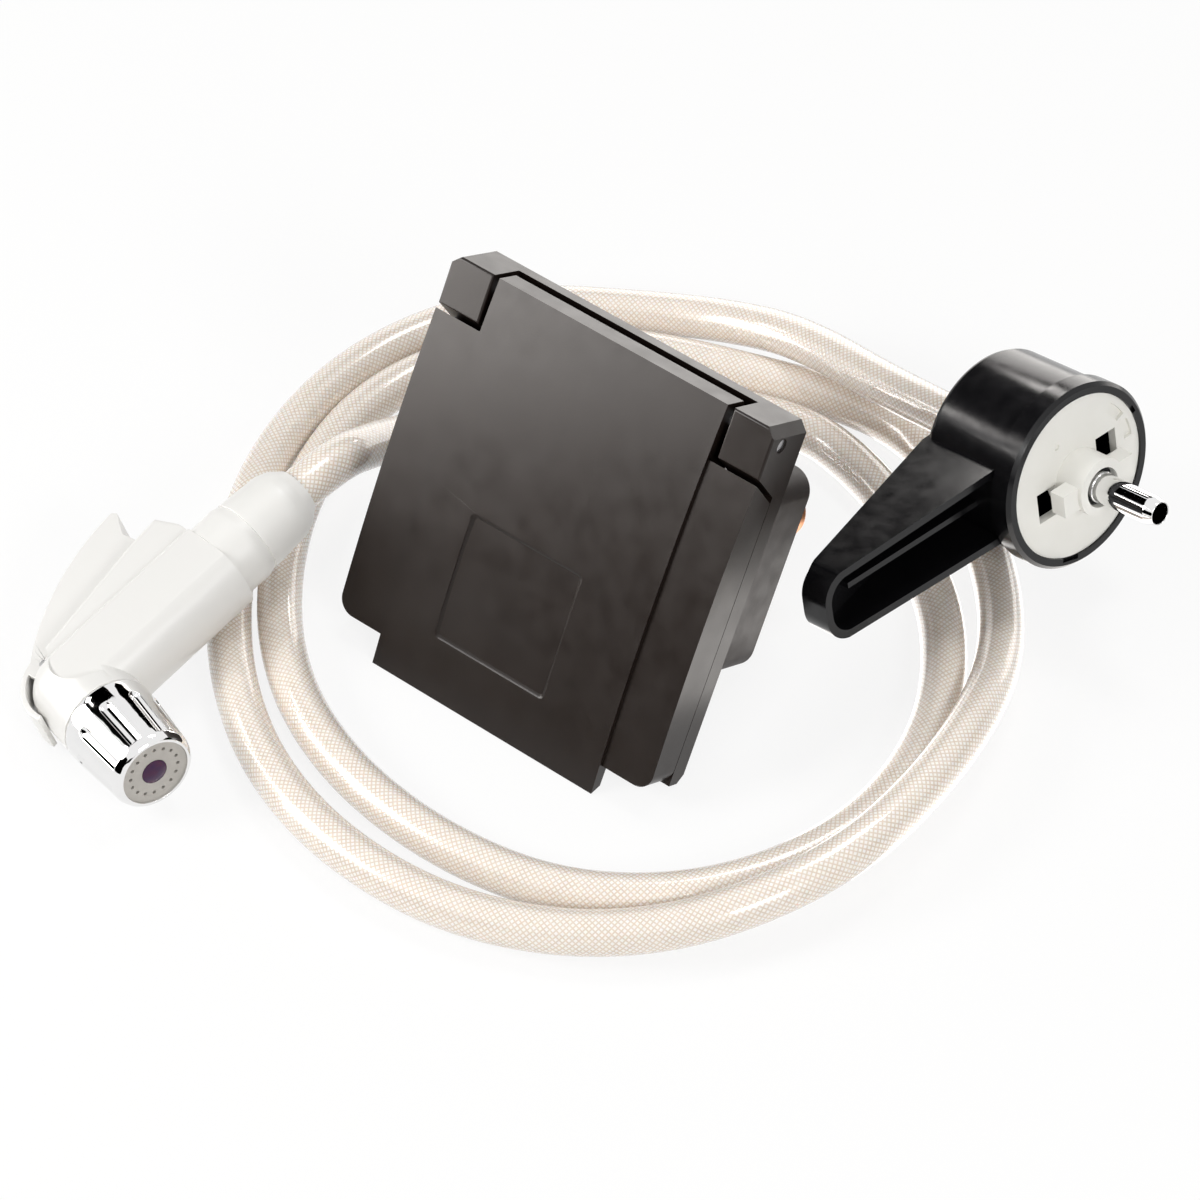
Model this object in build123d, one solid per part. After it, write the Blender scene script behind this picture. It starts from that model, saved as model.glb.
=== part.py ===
from build123d import *
from math import atan2, cos, degrees, radians, sin, sqrt, tan
import os

# External shower point: a wall box with a hinged lid, a trigger hand shower, and a lever plug
# on a braided hose that joins the two. It lies as it is photographed, on a floor at Z = 0.
# Millimetres. Each group is drawn in its own frame and then set down.

# Fits
RUNNING = 0.08
MOVING_GAP = 0.3

# Wall box: X right, Y into the wall, Z up, from the middle of the top front edge
FRAME_WIDE = 130.0
FRAME_HIGH = 129.3
FRAME_FRONT = 12.7
FRAME_BACK = 19.8
FRAME_BEVEL = 3.2
EAR_WIDE = 16.6
EAR_HIGH = 17.1
EAR_RUN_DOWN = 7.9
LID_SIDE_GAP = 2.4
LID_TOP_GAP = 2.1
LID_DEEP = 12.4
LID_BAND = 10.4
LID_CROWN = 3.0
LID_WALL = 2.4
LIP_DROP = 10.3
LIP_THICK = 4.0
WING_STEP = 1.2
WING_CORNER = 6.0
PANEL_SQUARE = 45.6
PANEL_SQUARE_X = -3.7
PANEL_SQUARE_UP = 43.1
PANEL_SQUARE_DEEP = 0.8
HINGE_DEEP = 6.8
HINGE_DOWN = 6.2
SWING_CLEAR = 0.5
HINGE_PIN_R = 2.5
HINGE_PIN_IN_LID = 9.0
NOTCH_WIDE = 7.8
NOTCH_X = (-34.9, 33.4)
SEAL_WIDE = 4.0
SEAL_TALL = 3.5
GASKET_WIDE = 6.0
GASKET_THICK = 2.5
GASKET_CLEAR = 3.0
SCREW_CLEAR = 8.0
SCREW_R = 2.1
SCREW_HEAD_R = 3.7

# Tub behind the wall
TUB_SIDE = 13.0
TUB_TALL = 72.0
TUB_MIDDLE = -68.0
TUB_FRONT = 15.0
TUB_BACK = 63.8
TUB_WALL = 2.5
TUB_CORNER = 8.0
TUB_LEDGE = 2.5
PLATE_FRONT = 20.0
PLATE_THICK = 2.5
PLATE_SCREW_IN = 9.0
PLATE_SCREW_R = 1.5
POST_R = 4.5
POST_LONG = 12.0
SOCKET_R = 20.0
SOCKET_FLANGE_R = 29.0
SOCKET_PROUD = 1.2
SOCKET_BACK = 44.0
TURN_START = 28.0
TURN_END = 36.0

# Mixer
ROTOR_R = 12.0
ROTOR_NECK_R = 8.0
ROTOR_HEAD = 7.4
ROTOR_LONG = 21.7
BODY_R = 19.0
TAIL_SIDE = 17.5
TAIL_UP = 12.0
TAIL_R = 9.0
TAIL_SEAT_R = 9.4
TAIL_BORE_R = 6.5
TAIL_END = 85.0
TAIL_IN_BODY = 8.0
TAIL_ROUND = 1.2
TAIL_NUT_ACROSS = 24.0
TAIL_NUT_LONG = 5.2

# Lever plug: Z out of the disc, X along the lever arm, from the middle of the rim's front
PLUG_LONG = 41.0
PLUG_R = 31.0
PLUG_RIM_R = 32.25
PLUG_RIM_LONG = 9.0
PLUG_WALL = 4.0
DISC_R = 28.5
DISC_THICK = 3.2
DISC_SUNK = 0.8
HUB_R = 10.0
HUB_HIGH = 11.5
LUG_WIDE = 8.0
LUG_REACH = 16.0
LUG_HIGH = 6.0
SPIGOT_R = 5.0
SPIGOT_SEAT_R = 5.35
SPIGOT_BORE_R = 3.6
SPIGOT_REACH = 37.0
ARM_REACH = 105.0
ARM_ROOT_HALF = 14.5
ARM_TIP_HALF = 12.5
ARM_TIP_DEEP = 20.0
ARM_WALL = 2.6
FERRULE_WALL = 1.5

# Hose
HOSE_R = 7.5
HOSE_BORE_R = 5.0

# Hand shower: X along the handle to the hose, Y to the trigger, from the elbow
HANDLE_R = 15.8
HANDLE_LONG = 61.6
HEAD_START = 16.4
HEAD_LONG = 30.2
HEAD_TILT = 8.4
HEAD_BASE_R = 16.0
HEAD_RIM_R = 14.0
FLUTES = 9
ROSE_R = 11.7
ROSE_HOLES = 16
ROSE_HOLE_R = 0.6
TRIGGER_HALF = 7.6
TRIGGER_WALL = 1.8
TRIGGER_GAP = 0.5
TRIGGER_PIN_R = 1.5
TRIGGER_PIN_AT = (-3.0, 11.0)
STEM_X = 20.0
STEM_R = 2.2
SPRING_WIRE = 0.5
SPRING_R = 4.2
SPRING_CURLS = 6
NECK_R = 13.9
NECK_END = 75.0
NECK_SIDE = 0.8
NUT_R = 13.7
NUT_TIP_R = 12.4
NUT_END = 98.5

# Where each group lies
LEAN = atan2(FRAME_HIGH + LIP_DROP + TUB_MIDDLE - TUB_TALL / 2, TUB_BACK)
BOX_TOP = (4.0, -4.2, (FRAME_HIGH + LIP_DROP) * cos(LEAN))
BOX_TURN = -38.86
PLUG_TURN = -47.3
PLUG_RISE = 14.2
PLUG_ROLL = -92.0
PLUG_AT = (155.3, 3.1, 54.5)
SHOWER_AT = (-166.5, -56.5, 16.1)
SHOWER_TURN = 44.1
SHOWER_RISE = 14.8
SHOWER_ROLL = -7.1

box_place = Pos(*BOX_TOP) * Rot(Z=BOX_TURN) * Rot(X=-degrees(LEAN))
plug_place = Pos(*PLUG_AT) * Rot(Z=PLUG_TURN) * Rot(Y=90 - PLUG_RISE) * Rot(Z=PLUG_ROLL)
shower_place = Pos(*SHOWER_AT) * Rot(Z=SHOWER_TURN) * Rot(Y=-SHOWER_RISE) * Rot(X=SHOWER_ROLL)

parts = {}


def rod(radius, start, stop):
    return Pos(0, 0, (start + stop) / 2) * Cylinder(radius, stop - start)


def tube(outer, inner, start, stop):
    return rod(outer, start, stop) - rod(inner, start - 1, stop + 1)


def block(x, y, z):
    size = [high - low for low, high in (x, y, z)]
    return Pos(*[(low + high) / 2 for low, high in (x, y, z)]) * Box(*size)


def turned(*points):
    return revolve(Plane.XZ * make_face(Polyline(*points, close=True)), Axis.Z)


def into_wall(x, z, shape):
    return Pos(x, 0, z) * Rot(X=-90) * shape


def plan(wide, tall, middle, corner, front, back):
    """A rounded rectangle seen from the front, solid from front to back."""
    outline = RectangleRounded(wide, tall, corner)
    return into_wall(0, middle, Pos(0, 0, front) * extrude(outline, back - front))


def side(outline, half_wide):
    """An outline of depth and height, solid to both sides of the middle."""
    return extrude(Plane.YZ * make_face(outline), half_wide, both=True)


def along_handle(shape):
    return Pos(0, NECK_SIDE, 0) * Rot(Y=90) * shape


# Wall box
TUB_WIDE = FRAME_WIDE - 2 * TUB_SIDE
PLATE_SCREW_X = TUB_WIDE / 2 - PLATE_SCREW_IN
PLATE_SCREW_Z = TUB_TALL / 2 - PLATE_SCREW_IN
TAIL_X = TUB_WIDE / 2 - TAIL_SIDE
SCREW_SQUARE = TUB_TALL + 2 * SCREW_CLEAR
lid_half = FRAME_WIDE / 2 - EAR_WIDE - LID_SIDE_GAP
lid_low = -FRAME_HIGH - LIP_DROP
ear_inner = FRAME_WIDE / 2 - EAR_WIDE
floor_slope = tan(LEAN)


def crown(push, top, low):
    """The lid's front line from top to low, pushed back by push."""
    def depth(z):
        share = z / lid_low
        return push - LID_CROWN * 4 * share * (1 - share)
    middle = (top + low) / 2
    return ThreePointArc((depth(top), top), (depth(middle), middle), (depth(low), low))


def crowned(push, top, low, back):
    """A side outline between the crowned front and the points of its back, from low to top."""
    front = crown(push, top, low)
    return front + Polyline(front @ 1, *back, front @ 0)


def build_lid():
    foot = -FRAME_HIGH
    ear_step = -EAR_HIGH - LID_TOP_GAP
    panel = side(crowned(0, 0, lid_low, [(LIP_THICK, lid_low + LIP_THICK * floor_slope),
                                         (LIP_THICK, foot), (LID_DEEP, foot),
                                         (LID_DEEP, ear_step), (LID_BAND, ear_step),
                                         (LID_BAND, 0)]), lid_half)
    wings = side(crowned(WING_STEP, ear_step, foot, [(LID_DEEP, foot),
                                                     (LID_DEEP, ear_step - EAR_RUN_DOWN)]),
                 FRAME_WIDE / 2)
    wings &= plan(FRAME_WIDE, 2 * FRAME_HIGH, 0, WING_CORNER, -20, 30)
    solid = panel + wings
    body = solid
    push = WING_STEP + LID_WALL
    hollow_top = ear_step - LID_WALL
    hollow = side(crowned(push, hollow_top, foot + LID_WALL,
                          [(LID_DEEP + 1, foot + LID_WALL),
                           (LID_DEEP + 1, hollow_top - EAR_RUN_DOWN)]),
                  FRAME_WIDE / 2 - LID_WALL)
    middle_hollow = side(crowned(push, -2 * HINGE_DOWN, hollow_top - EAR_RUN_DOWN,
                                 [(LID_DEEP + 1, hollow_top - EAR_RUN_DOWN),
                                  (LID_DEEP + 1, -2 * HINGE_DOWN)]), lid_half - LID_WALL)
    body -= hollow
    body -= middle_hollow
    skin = panel - Pos(0, PANEL_SQUARE_DEEP, 0) * panel
    square_middle = lid_low + PANEL_SQUARE_UP
    square = Pos(PANEL_SQUARE_X, 0, 0) * plan(PANEL_SQUARE, PANEL_SQUARE, square_middle, 2, -10, 5)
    body -= skin & square
    for x in NOTCH_X:
        body -= block((x - NOTCH_WIDE / 2, x + NOTCH_WIDE / 2), (LID_BAND - 1, LID_BAND + 1), (-3, 1))
    inside = LID_WALL - LID_CROWN
    body += seal_ring(SEAL_WIDE - 2, inside, FRAME_FRONT - SEAL_TALL + 1.5 - MOVING_GAP)
    body += block((-5, 5), (inside, FRAME_FRONT - 3.5), (CATCH_Z - 1.3, CATCH_Z + 1.3))
    top_edge = body.edges().filter_by(Axis.X).sort_by(Axis.Z)[-2:].sort_by(Axis.Y)[0]
    body = fillet(top_edge, 1.5)
    pins = Rot(Y=90) * rod(HINGE_PIN_R + RUNNING, -lid_half - 1, lid_half + 1)
    core = block((HINGE_PIN_IN_LID - lid_half, lid_half - HINGE_PIN_IN_LID), (-9, 9), (-9, 9))
    return body - Pos(0, HINGE_DEEP, -HINGE_DOWN) * (pins - core)


def seal_ring(wide, front, back):
    """A ring round the tub's mouth, as wide as given, from front to back."""
    inner_wide = TUB_WIDE - 2 * TUB_WALL + 3
    inner_tall = TUB_TALL - 2 * TUB_WALL + 2
    grow = (SEAL_WIDE - wide) / 2
    inner = plan(inner_wide + 2 * grow, inner_tall + 2 * grow, TUB_MIDDLE, TUB_CORNER, front - 1, back + 1)
    edge = 2 * (wide + grow)
    return plan(inner_wide + edge, inner_tall + edge, TUB_MIDDLE, TUB_CORNER + 2, front, back) - inner


CATCH_Z = -FRAME_HIGH + 13.0


def build_frame():
    low = -FRAME_HIGH
    flange = side(Polyline((FRAME_FRONT, 0), (FRAME_BACK, 0), (FRAME_BACK, low + 3),
                           (FRAME_BACK - 2.6, low), (FRAME_FRONT, low), close=True), FRAME_WIDE / 2)
    ears = side(Polyline((0, 0), (FRAME_BACK, 0), (FRAME_BACK, -EAR_HIGH - EAR_RUN_DOWN),
                         (FRAME_FRONT, -EAR_HIGH - EAR_RUN_DOWN), (0, -EAR_HIGH), close=True),
                FRAME_WIDE / 2)
    ears -= block((-ear_inner, ear_inner), (-1, FRAME_FRONT), (-40, 1))
    body = flange + ears
    body = fillet(body.faces().sort_by(Axis.Y)[:2].edges(), 0.8)
    corners = [Pos(turn * FRAME_WIDE / 2, FRAME_BACK / 2, 0) * Rot(Y=45) *
               Box(FRAME_BEVEL * sqrt(2), 2 * FRAME_BACK, FRAME_BEVEL * sqrt(2)) for turn in (-1, 1)]
    body -= corners[0] + corners[1]
    swing = sqrt(HINGE_DEEP ** 2 + HINGE_DOWN ** 2) + SWING_CLEAR
    body -= Pos(0, HINGE_DEEP, -HINGE_DOWN) * Rot(Y=90) * rod(swing, -ear_inner, ear_inner)
    body -= plan(TUB_WIDE, TUB_TALL, TUB_MIDDLE, TUB_CORNER, TUB_FRONT, FRAME_BACK + 1)
    body -= plan(TUB_WIDE - 2 * TUB_WALL, TUB_TALL - 2 * TUB_WALL, TUB_MIDDLE,
                 TUB_CORNER - TUB_WALL, 0, FRAME_BACK + 1)
    body -= gasket_ring()
    body -= seal_ring(SEAL_WIDE, FRAME_FRONT - SEAL_TALL, FRAME_FRONT + 1.5)
    body -= Rot(Y=90) * Pos(HINGE_DOWN, HINGE_DEEP, 0) * rod(HINGE_PIN_R, -FRAME_WIDE, FRAME_WIDE)
    for x, z in screw_places():
        head = turned((0, FRAME_FRONT - 1), (SCREW_HEAD_R, FRAME_FRONT - 1), (SCREW_HEAD_R, FRAME_FRONT),
                      (SCREW_R, FRAME_FRONT + SCREW_HEAD_R - SCREW_R), (SCREW_R, FRAME_BACK + 1),
                      (0, FRAME_BACK + 1))
        body -= into_wall(x, z, head)
    return body - block((-8, 8), (FRAME_FRONT - 7, FRAME_FRONT + 2), (CATCH_Z - 4, CATCH_Z + 4))


def screw_places():
    half = SCREW_SQUARE / 2
    return [(x, TUB_MIDDLE + z) for x in (-half, half) for z in (-half, half)]


def gasket_ring():
    inner_wide = TUB_WIDE + 2 * GASKET_CLEAR
    inner_tall = FRAME_HIGH - FRAME_WIDE + inner_wide
    middle = -(FRAME_HIGH - 1) / 2
    outer = plan(inner_wide + 2 * GASKET_WIDE, inner_tall + 2 * GASKET_WIDE, middle, 8,
                 FRAME_BACK - GASKET_THICK, FRAME_BACK)
    return outer - plan(inner_wide, inner_tall, middle, 4, 0, 40)


def build_hinge_pins():
    length = (FRAME_WIDE / 2 - 0.8) - (lid_half - HINGE_PIN_IN_LID + MOVING_GAP)
    start = FRAME_WIDE / 2 - 0.8 - length
    pin = Pos(0, HINGE_DEEP, -HINGE_DOWN) * Rot(Y=90) * rod(HINGE_PIN_R, start, start + length)
    return Compound([pin, mirror(pin, Plane.YZ)])


def build_catch():
    catch = block((-8, 8), (FRAME_FRONT - 6.5, FRAME_FRONT + 2), (CATCH_Z - 4, CATCH_Z + 4))
    return catch - block((-9, 9), (0, FRAME_FRONT - 1.5), (CATCH_Z - 1.8, CATCH_Z + 1.8))


# Tub, socket and mixer
plate_back = PLATE_FRONT + PLATE_THICK
body_front = SOCKET_BACK + 0.2
tub_inside_back = TUB_BACK - TUB_WALL
tail_z = TUB_MIDDLE + TAIL_UP


def build_tub():
    wide = TUB_WIDE - 2 * TUB_WALL
    tall = TUB_TALL - 2 * TUB_WALL
    body = plan(TUB_WIDE, TUB_TALL, TUB_MIDDLE, TUB_CORNER, TUB_FRONT, TUB_BACK)
    body -= plan(wide, tall, TUB_MIDDLE, TUB_CORNER - TUB_WALL, TUB_FRONT - 1, plate_back)
    body -= plan(wide - 2 * TUB_LEDGE, tall - 2 * TUB_LEDGE, TUB_MIDDLE, 3, plate_back, tub_inside_back)
    for x in (-PLATE_SCREW_X, PLATE_SCREW_X):
        for z in (-PLATE_SCREW_Z, PLATE_SCREW_Z):
            body += into_wall(x, TUB_MIDDLE + z, rod(POST_R, plate_back, plate_back + POST_LONG))
            body -= into_wall(x, TUB_MIDDLE + z, rod(PLATE_SCREW_R, plate_back - 1, plate_back + 10))
    for x in (-TAIL_X, TAIL_X):
        body -= into_wall(x, tail_z, rod(TAIL_SEAT_R, tub_inside_back - 1, TUB_BACK + 1))
    return body


def build_plate():
    plate = plan(TUB_WIDE - 2 * TUB_WALL, TUB_TALL - 2 * TUB_WALL, TUB_MIDDLE, TUB_CORNER - TUB_WALL,
                 PLATE_FRONT, plate_back)
    plate -= into_wall(0, TUB_MIDDLE, rod(SOCKET_R, 0, 40))
    for x in (-PLATE_SCREW_X, PLATE_SCREW_X):
        for z in (-PLATE_SCREW_Z, PLATE_SCREW_Z):
            plate -= into_wall(x, TUB_MIDDLE + z, rod(PLATE_SCREW_R, 0, 40))
    return plate


def build_plate_screws():
    screw = rod(PLATE_SCREW_R * 2, PLATE_FRONT - 1.6, PLATE_FRONT) + rod(PLATE_SCREW_R, PLATE_FRONT, plate_back + 9)
    screw -= block((-0.4, 0.4), (-4, 4), (PLATE_FRONT - 2, PLATE_FRONT - 1))
    return Compound([into_wall(x, TUB_MIDDLE + z, screw)
                              for x in (-PLATE_SCREW_X, PLATE_SCREW_X)
                              for z in (-PLATE_SCREW_Z, PLATE_SCREW_Z)])


def build_socket():
    front = PLATE_FRONT - SOCKET_PROUD
    hub_hole = HUB_R + 0.8
    ring = rod(SOCKET_FLANGE_R, front, PLATE_FRONT) + rod(SOCKET_R, front, SOCKET_BACK)
    ring -= rod(hub_hole, front - 1, TURN_END)
    ring -= rod(LUG_REACH + 0.6, TURN_START, TURN_END)
    ring -= block((-LUG_WIDE / 2 - 0.8, LUG_WIDE / 2 + 0.8), (-LUG_REACH - 0.6, LUG_REACH + 0.6),
                  (front - 1, TURN_START))
    ring -= rod(ROTOR_R + RUNNING, TURN_END - 1, SOCKET_BACK + 1)
    return into_wall(0, TUB_MIDDLE, ring)


def build_rotor():
    front = TURN_END + MOVING_GAP
    rotor = rod(ROTOR_R, front, front + ROTOR_HEAD) + rod(ROTOR_NECK_R, front, front + ROTOR_LONG)
    rotor -= rod(SPIGOT_R + 0.05, front - 1, front + ROTOR_LONG - 2)
    for turn in (0, 180):
        rotor -= Rot(Z=turn) * block((7, ROTOR_R + 1), (-2.5, 2.5), (front - 1, front + 4))
    for turn in (60, 120):
        port = Pos(0, 0, front + ROTOR_LONG - 6) * Rot(Z=turn) * Rot(Y=90) * rod(2, 3, ROTOR_R)
        rotor -= port
    for at in ROTOR_SEAL_AT:
        rotor -= tube(ROTOR_NECK_R + 1, ROTOR_NECK_R - 2 * ROTOR_SEAL_R,
                      front + at - ROTOR_SEAL_R - 0.1, front + at + ROTOR_SEAL_R + 0.1)
    return into_wall(0, TUB_MIDDLE, rotor)


ROTOR_SEAL_AT = (10.5, 19.2)
ROTOR_SEAL_R = 0.85


def build_rotor_seals():
    front = TURN_END + MOVING_GAP
    rings = [into_wall(0, TUB_MIDDLE, Pos(0, 0, front + at) * Torus(ROTOR_NECK_R - ROTOR_SEAL_R, ROTOR_SEAL_R))
             for at in ROTOR_SEAL_AT]
    return Compound(rings)


def build_mixer_body():
    body = into_wall(0, TUB_MIDDLE, rod(BODY_R, body_front, tub_inside_back))
    for x in (-TAIL_X, TAIL_X):
        body += into_wall(x, tail_z, rod(TAIL_SEAT_R + 1.6, body_front + 3, tub_inside_back))
    body += block((-TAIL_X, TAIL_X), (body_front + 4, tub_inside_back - 2), (tail_z - 6, tail_z + 6))
    body -= into_wall(0, TUB_MIDDLE, rod(ROTOR_NECK_R + RUNNING, 0, TURN_END + ROTOR_LONG + 1))
    for x in (-TAIL_X, TAIL_X):
        body -= into_wall(x, tail_z, rod(TAIL_SEAT_R, tub_inside_back - TAIL_IN_BODY, TUB_BACK))
        gallery = Rot(Y=90) * rod(3, min(0, x), max(0, x))
        body -= Pos(0, tub_inside_back - 10, tail_z) * gallery
    return body - into_wall(0, 0, Pos(0, -tail_z, tub_inside_back - 10) * Rot(X=-90) * rod(3, 0, 1))


def build_tail(x):
    seat_end = TUB_BACK + TAIL_NUT_LONG
    pipe = turned((TAIL_BORE_R, tub_inside_back - TAIL_IN_BODY), (TAIL_SEAT_R, tub_inside_back - TAIL_IN_BODY),
                  (TAIL_SEAT_R, seat_end), (TAIL_R, seat_end), (TAIL_R, TAIL_END), (TAIL_BORE_R, TAIL_END))
    pipe = fillet(pipe.edges().group_by(Axis.Z)[-1], TAIL_ROUND)
    return into_wall(x, tail_z, pipe)


def build_olives():
    ring = tube(TAIL_SEAT_R + 1.2, TAIL_SEAT_R, TUB_BACK, TUB_BACK + 2)
    return Compound([into_wall(x, tail_z, ring) for x in (-TAIL_X, TAIL_X)])


def build_tail_nuts():
    nut = extrude(RegularPolygon(TAIL_NUT_ACROSS / 2, 6, major_radius=False), TAIL_NUT_LONG)
    nut = Pos(0, 0, TUB_BACK) * nut - rod(TAIL_SEAT_R, TUB_BACK - 1, TUB_BACK + 9)
    nut -= rod(TAIL_SEAT_R + 1.2, TUB_BACK - 1, TUB_BACK + 2)
    return Compound([into_wall(x, tail_z, nut) for x in (-TAIL_X, TAIL_X)])


# Lever plug
disc_face = -DISC_SUNK
disc_back = disc_face - DISC_THICK
hub_front = disc_face + HUB_HIGH
boss_back = disc_back - 8
hose_end = -34.0


def build_lever_shell():
    back = -PLUG_LONG
    shell = turned((BUSH_R, back), (PLUG_R - 2.5, back), (PLUG_R - 0.8, back + 0.8), (PLUG_R, back + 2.5),
                   (PLUG_R, -PLUG_RIM_LONG), (PLUG_RIM_R, 0.9 - PLUG_RIM_LONG), (PLUG_RIM_R, -1.2),
                   (PLUG_RIM_R - 1.2, 0), (DISC_R + 0.1, 0), (DISC_R + 0.1, disc_back),
                   (PLUG_R - PLUG_WALL, disc_back), (PLUG_R - PLUG_WALL, back + 3), (BUSH_R, back + 3))
    reach = ARM_REACH
    deep = -PLUG_LONG
    shallow = -ARM_TIP_DEEP

    def arm(inset):
        tip = ARM_TIP_HALF - inset
        root = ARM_ROOT_HALF - inset
        end = reach - inset
        bend = 8.0 - inset / 2
        top = extrude(Pos(0, 0, deep) * make_face(
            Polyline((end - bend, -tip), (15, -root), (15, root), (end - bend, tip)) +
            ThreePointArc((end - bend, tip), (end - bend * 0.28, tip * 0.72), (end, tip * 0.2)) +
            Line((end, tip * 0.2), (end, -tip * 0.2)) +
            ThreePointArc((end, -tip * 0.2), (end - bend * 0.28, -tip * 0.72), (end - bend, -tip))), 60)
        front = -PLUG_RIM_LONG + (5 if inset else 0)
        profile = extrude(Plane.XZ * make_face(Polyline(
            (10, front), (reach + 5, front), (reach + 5, shallow + inset), (reach - 4, shallow + inset),
            (PLUG_R - 2, deep + inset), (10, deep + inset), close=True)), 40, both=True)
        return top & profile
    hollow = arm(ARM_WALL) - rod(PLUG_R, -60, 20)
    rib = block((PLUG_R - 1, reach - 16), (-1, 1), (-60, -PLUG_RIM_LONG - 7)) & arm(0)
    arms = arm(0) - rod(PLUG_R - PLUG_WALL / 2, -60, 20)
    shell += (arms - hollow) + (rib - rod(PLUG_R - 1, -60, 20))
    for turn, wide in ((-155.5, 3.0), (74.7, 7.0)):
        shell -= Rot(Z=turn) * block((DISC_R - 0.2, DISC_R + 1.3), (-wide / 2, wide / 2), (-1.2, 1))
    return shell


BUSH_R = HOSE_R + FERRULE_WALL + RUNNING + 3.5


def build_plug_bush():
    return tube(BUSH_R, HOSE_R + FERRULE_WALL + RUNNING, -PLUG_LONG - 1, -PLUG_LONG + 6)


def build_disc():
    disc = rod(DISC_R, disc_back, disc_face)
    for turn in (0, 180):
        window = block((9.5, 18.5), (-2, 9), (disc_back - 1, disc_face + 1)) - rod(HUB_R + 0.6, -60, 20)
        disc -= Rot(Z=turn) * window
    disc += rod(HUB_R, disc_back, hub_front) + rod(SPIGOT_R + 3.5, boss_back, disc_back)
    lug_top = hub_front - 1.6
    for turn in (0, 180):
        disc += Rot(Z=turn) * block((HUB_R - 2, LUG_REACH), (-LUG_WIDE / 2, LUG_WIDE / 2),
                                    (lug_top - LUG_HIGH, lug_top))
    for turn, half in ((-143, 9), (-166, 8)):
        sector = extrude(make_face(Polyline((0, 0), (40, -40 * tan(radians(half))),
                                            (40, 40 * tan(radians(half))), close=True)), 3)
        pocket = Pos(0, 0, disc_face - 1.2) * (Rot(Z=turn) * sector)
        disc -= pocket & tube(26, 22.5, -10, 10)
    disc -= Pos(7.5, -14.9, 0) * rod(1.1, disc_face - 0.8, disc_face + 1)
    disc -= rod(SPIGOT_SEAT_R + RUNNING, boss_back - 1, hub_front + 1)
    return disc - rod(SPIGOT_SEAT_R + 1.6, disc_face + 3, hub_front + 1)


def build_spigot():
    tip = disc_face + SPIGOT_REACH
    return turned((SPIGOT_BORE_R, boss_back - 3), (SPIGOT_R + 3, boss_back - 3),
                  (SPIGOT_R + 3, boss_back - MOVING_GAP), (SPIGOT_SEAT_R, boss_back - MOVING_GAP),
                  (SPIGOT_SEAT_R, hub_front), (SPIGOT_R, hub_front),
                  (SPIGOT_R, tip - 4), (SPIGOT_R - 1, tip), (SPIGOT_BORE_R, tip))


def build_spigot_seals():
    rings = [Pos(0, 0, disc_face + at) * Torus(SPIGOT_SEAT_R + 0.74, 0.74) for at in (6.0, 8.5)]
    return Compound(rings)


def build_spigot_clip():
    low = disc_face + 3 + MOVING_GAP
    ring = tube(SPIGOT_SEAT_R + 1.3, SPIGOT_SEAT_R, low, low + 0.8)
    return ring - block((3, 9), (-1.5, 1.5), (low - 1, low + 2))


def build_plug_tail():
    start = boss_back - 3
    points = [(SPIGOT_BORE_R, start), (SPIGOT_R + 2.4, start), (SPIGOT_R + 2.4, hose_end),
              (HOSE_BORE_R, hose_end)]
    for step in range(3):
        low = hose_end - 3 - 5 * step
        points += [(HOSE_BORE_R, low), (HOSE_BORE_R - 0.5, low), (HOSE_BORE_R, low - 4)]
    points += [(SPIGOT_BORE_R, hose_end - 17)]
    return turned(*points)


def build_plug_ferrule():
    return tube(HOSE_R + FERRULE_WALL, HOSE_R, hose_end - 15, hose_end + 1)


# Hand shower
def head_place(shape):
    spray = (-sin(radians(HEAD_TILT)), -cos(radians(HEAD_TILT)), 0)
    return Plane(origin=(0, 0, 0), x_dir=(0, 0, 1), z_dir=spray).location * shape


PLATFORM = ((-2.0, 8.0), (2.0, 15.6), (HANDLE_LONG - 14.1, 23.6), (HANDLE_LONG - 3.1, 24.6),
            (HANDLE_LONG, 17.0), (HANDLE_LONG, 8.0))
POCKET_END = HANDLE_LONG - 9.2
POCKET_FLOOR = 7.0
CHAMBER_R = 5.6
GLAND_TOP = 10.0


def build_body():
    body = Sphere(HANDLE_R) + Rot(Y=90) * rod(HANDLE_R, 0, HANDLE_LONG)
    body += head_place(rod(HANDLE_R, 0, HEAD_START) + rod(HEAD_BASE_R - 3, HEAD_START, HEAD_START + 8))
    hump = extrude(make_face(Polyline(*PLATFORM, close=True)), 11.5, both=True)
    hump = fillet(hump.edges().filter_by(Axis.Z, reverse=True).sort_by(Axis.Y)[-6:], 2.0)
    body += hump
    flat = block((6, HANDLE_LONG + 1), (-20, 11), (HANDLE_R - 2.4, 30)) + Pos(6, 0, 0) * rod(11, HANDLE_R - 2.4, 30)
    body -= flat
    half = TRIGGER_HALF + TRIGGER_GAP
    body -= block((-9, POCKET_END), (POCKET_FLOOR, 40), (-half, half))
    body -= Rot(Y=90) * rod(NECK_PLUG_R, HANDLE_LONG - 8.5, HANDLE_LONG + 1)
    body -= Rot(Y=90) * rod(4.5, STEM_X, HANDLE_LONG)
    body -= Pos(STEM_X, 0, 0) * Rot(X=-90) * rod(CHAMBER_R, -9, POCKET_FLOOR + 1)
    body -= Rot(Y=90) * rod(3.5, 0, STEM_X) + head_place(rod(3.5, 0, 60) + rod(HEAD_BASE_R - 5, HEAD_START, 40))
    body -= Pos(*TRIGGER_PIN_AT, 0) * rod(TRIGGER_PIN_R, -30, 30)
    return body


NECK_PLUG_R = 11.0


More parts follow.
